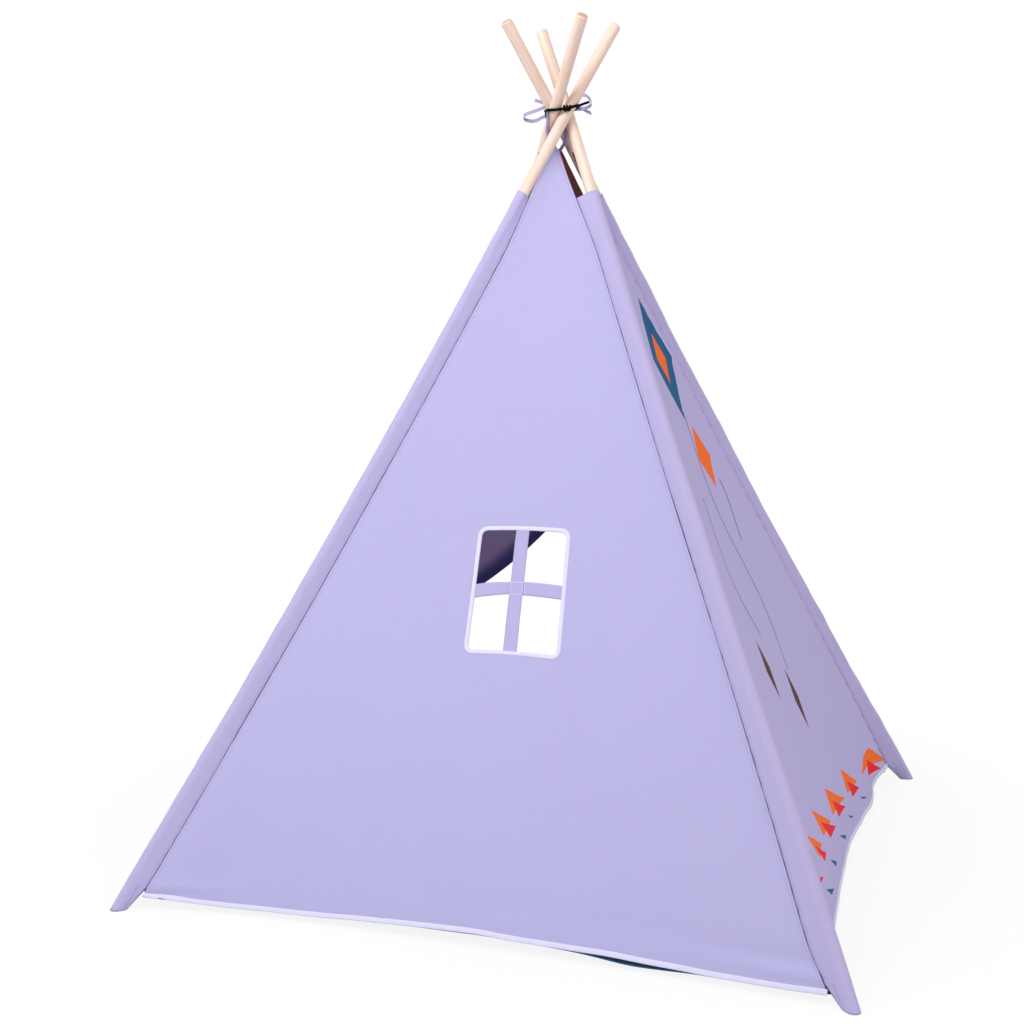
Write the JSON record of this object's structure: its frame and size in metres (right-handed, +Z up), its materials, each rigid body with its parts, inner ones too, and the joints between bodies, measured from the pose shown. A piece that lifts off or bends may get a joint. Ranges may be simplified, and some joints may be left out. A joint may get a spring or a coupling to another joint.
{
  "type": "kids teepee",
  "caption": "Four-sided cloth play tent on jointed wooden poles crossed and lashed at the top, with a window, a tied-back curtain door and a floor sheet.",
  "frame": {"origin": "on the ground under the crossing of the poles, at the middle of the base", "axes": "+Z up, the window side faces -Y, the door side faces +Y, the printed side wall faces +X"},
  "size_m": [1.252, 1.1438, 1.4708],
  "materials": {
    "pine": "sanded bare pine, satin",
    "zinc_steel": "zinc plated tube",
    "lavender_canvas": "plain woven canvas, matt",
    "sleeve_canvas": "plain woven canvas, matt",
    "pale_binding": "folded binding tape, matt",
    "strap_canvas": "doubled canvas, matt",
    "teal_floor_cloth": "coated woven cloth",
    "black_elastic": "braided elastic cord",
    "lavender_ribbon": "woven tape"
  },
  "bodies": {
    "apex_lashing": {"lashing_cord": "black_elastic", "ribbon_bow": "lavender_ribbon"},
    "pole_window_left": {"pole_window_left_lower": "pine", "pole_window_left_middle": "pine", "pole_window_left_upper": "pine", "ferrule_window_left_lower": "zinc_steel", "ferrule_window_left_upper": "zinc_steel", "sleeve_window_left": "sleeve_canvas"},
    "pole_window_right": {"pole_window_right_lower": "pine", "pole_window_right_middle": "pine", "pole_window_right_upper": "pine", "ferrule_window_right_lower": "zinc_steel", "ferrule_window_right_upper": "zinc_steel", "sleeve_window_right": "sleeve_canvas"},
    "pole_door_right": {"pole_door_right_lower": "pine", "pole_door_right_middle": "pine", "pole_door_right_upper": "pine", "ferrule_door_right_lower": "zinc_steel", "ferrule_door_right_upper": "zinc_steel", "sleeve_door_right": "sleeve_canvas"},
    "pole_door_left": {"pole_door_left_lower": "pine", "pole_door_left_middle": "pine", "pole_door_left_upper": "pine", "ferrule_door_left_lower": "zinc_steel", "ferrule_door_left_upper": "zinc_steel", "sleeve_door_left": "sleeve_canvas"},
    "window_wall": {"window_panel": "lavender_canvas", "window_binding": "pale_binding", "window_strap_upright": "strap_canvas", "window_strap_level": "strap_canvas", "hem_window": "pale_binding", "apex_tape_window": "lavender_ribbon"},
    "right_wall": {"right_panel": "lavender_canvas", "hem_right": "pale_binding", "apex_tape_right": "lavender_ribbon"},
    "left_wall": {"left_panel": "lavender_canvas", "hem_left": "pale_binding", "apex_tape_left": "lavender_ribbon"},
    "door_wall": {"door_panel": "lavender_canvas", "tie_back_left": "strap_canvas", "tie_back_right": "strap_canvas", "apex_tape_door": "lavender_ribbon"},
    "floor": {"floor_sheet": "teal_floor_cloth", "door_sill": "pale_binding"},
    "curtain_left": {"curtain_left": "lavender_canvas"},
    "curtain_right": {"curtain_right": "lavender_canvas"}
  },
  "joints": [
    {"name": "fold_window_left", "type": "hinge", "parent": "apex_lashing", "child": "pole_window_left", "pos_m": [0.01116, -0.01229, 1.31], "axis": [0.6724, -0.7402, 0], "range_deg": [0, 28], "deforming": ["apex_tape_door", "apex_tape_left", "apex_tape_right", "apex_tape_window", "curtain_left", "curtain_right", "door_panel", "door_sill", "floor_sheet", "hem_left", "hem_right", "hem_window", "lashing_cord", "left_panel", "ribbon_bow", "right_panel", "sleeve_door_left", "sleeve_door_right", "sleeve_window_left", "sleeve_window_right", "tie_back_left", "tie_back_right", "window_binding", "window_panel", "window_strap_level", "window_strap_upright"]},
    {"name": "fold_window_right", "type": "hinge", "parent": "apex_lashing", "child": "pole_window_right", "pos_m": [0.01116, 0.01229, 1.31], "axis": [0.6724, 0.7402, 0], "range_deg": [0, 28]},
    {"name": "fold_door_right", "type": "hinge", "parent": "apex_lashing", "child": "pole_door_right", "pos_m": [-0.01116, 0.01229, 1.31], "axis": [-0.6724, 0.7402, 0], "range_deg": [0, 28]},
    {"name": "fold_door_left", "type": "hinge", "parent": "apex_lashing", "child": "pole_door_left", "pos_m": [-0.01116, -0.01229, 1.31], "axis": [-0.6724, -0.7402, 0], "range_deg": [0, 28]},
    {"name": "fold_window_wall", "type": "hinge", "parent": "apex_lashing", "child": "window_wall", "pos_m": [0, 0, 1.31], "axis": [1, 0, 0], "range_deg": [0, 20.1]},
    {"name": "fold_right_wall", "type": "hinge", "parent": "apex_lashing", "child": "right_wall", "pos_m": [0, 0, 1.31], "axis": [0, 1, 0], "range_deg": [0, 21.9]},
    {"name": "fold_door_wall", "type": "hinge", "parent": "apex_lashing", "child": "door_wall", "pos_m": [0, 0, 1.31], "axis": [-1, 0, 0], "range_deg": [0, 20.1]},
    {"name": "fold_left_wall", "type": "hinge", "parent": "apex_lashing", "child": "left_wall", "pos_m": [0, 0, 1.31], "axis": [0, -1, 0], "range_deg": [0, 21.9]},
    {"name": "fold_floor", "type": "hinge", "parent": "apex_lashing", "child": "floor", "pos_m": [0, -0.175, 0.175], "axis": [1, 0, 0], "range_deg": [0, 90]},
    {"name": "swing_curtain_left", "type": "hinge", "parent": "door_wall", "child": "curtain_left", "pos_m": [-0.44077, 0.40514, 0.29008], "axis": [0.3998, -0.3679, 0.8395], "range_deg": [0, 45]},
    {"name": "swing_curtain_right", "type": "hinge", "parent": "door_wall", "child": "curtain_right", "pos_m": [0.41845, 0.42972, 0.29008], "axis": [0.3998, 0.3679, -0.8395], "range_deg": [0, 45]}
  ],
  "couplings": [
    {"joint": "fold_window_right", "follows": "fold_window_left", "ratio": 1},
    {"joint": "fold_door_right", "follows": "fold_window_left", "ratio": 1},
    {"joint": "fold_door_left", "follows": "fold_window_left", "ratio": 1},
    {"joint": "fold_window_wall", "follows": "fold_window_left", "ratio": 0.7167},
    {"joint": "fold_right_wall", "follows": "fold_window_left", "ratio": 0.7798},
    {"joint": "fold_door_wall", "follows": "fold_window_left", "ratio": 0.7167},
    {"joint": "fold_left_wall", "follows": "fold_window_left", "ratio": 0.7798},
    {"joint": "fold_floor", "follows": "fold_window_left", "ratio": 3.214}
  ]
}
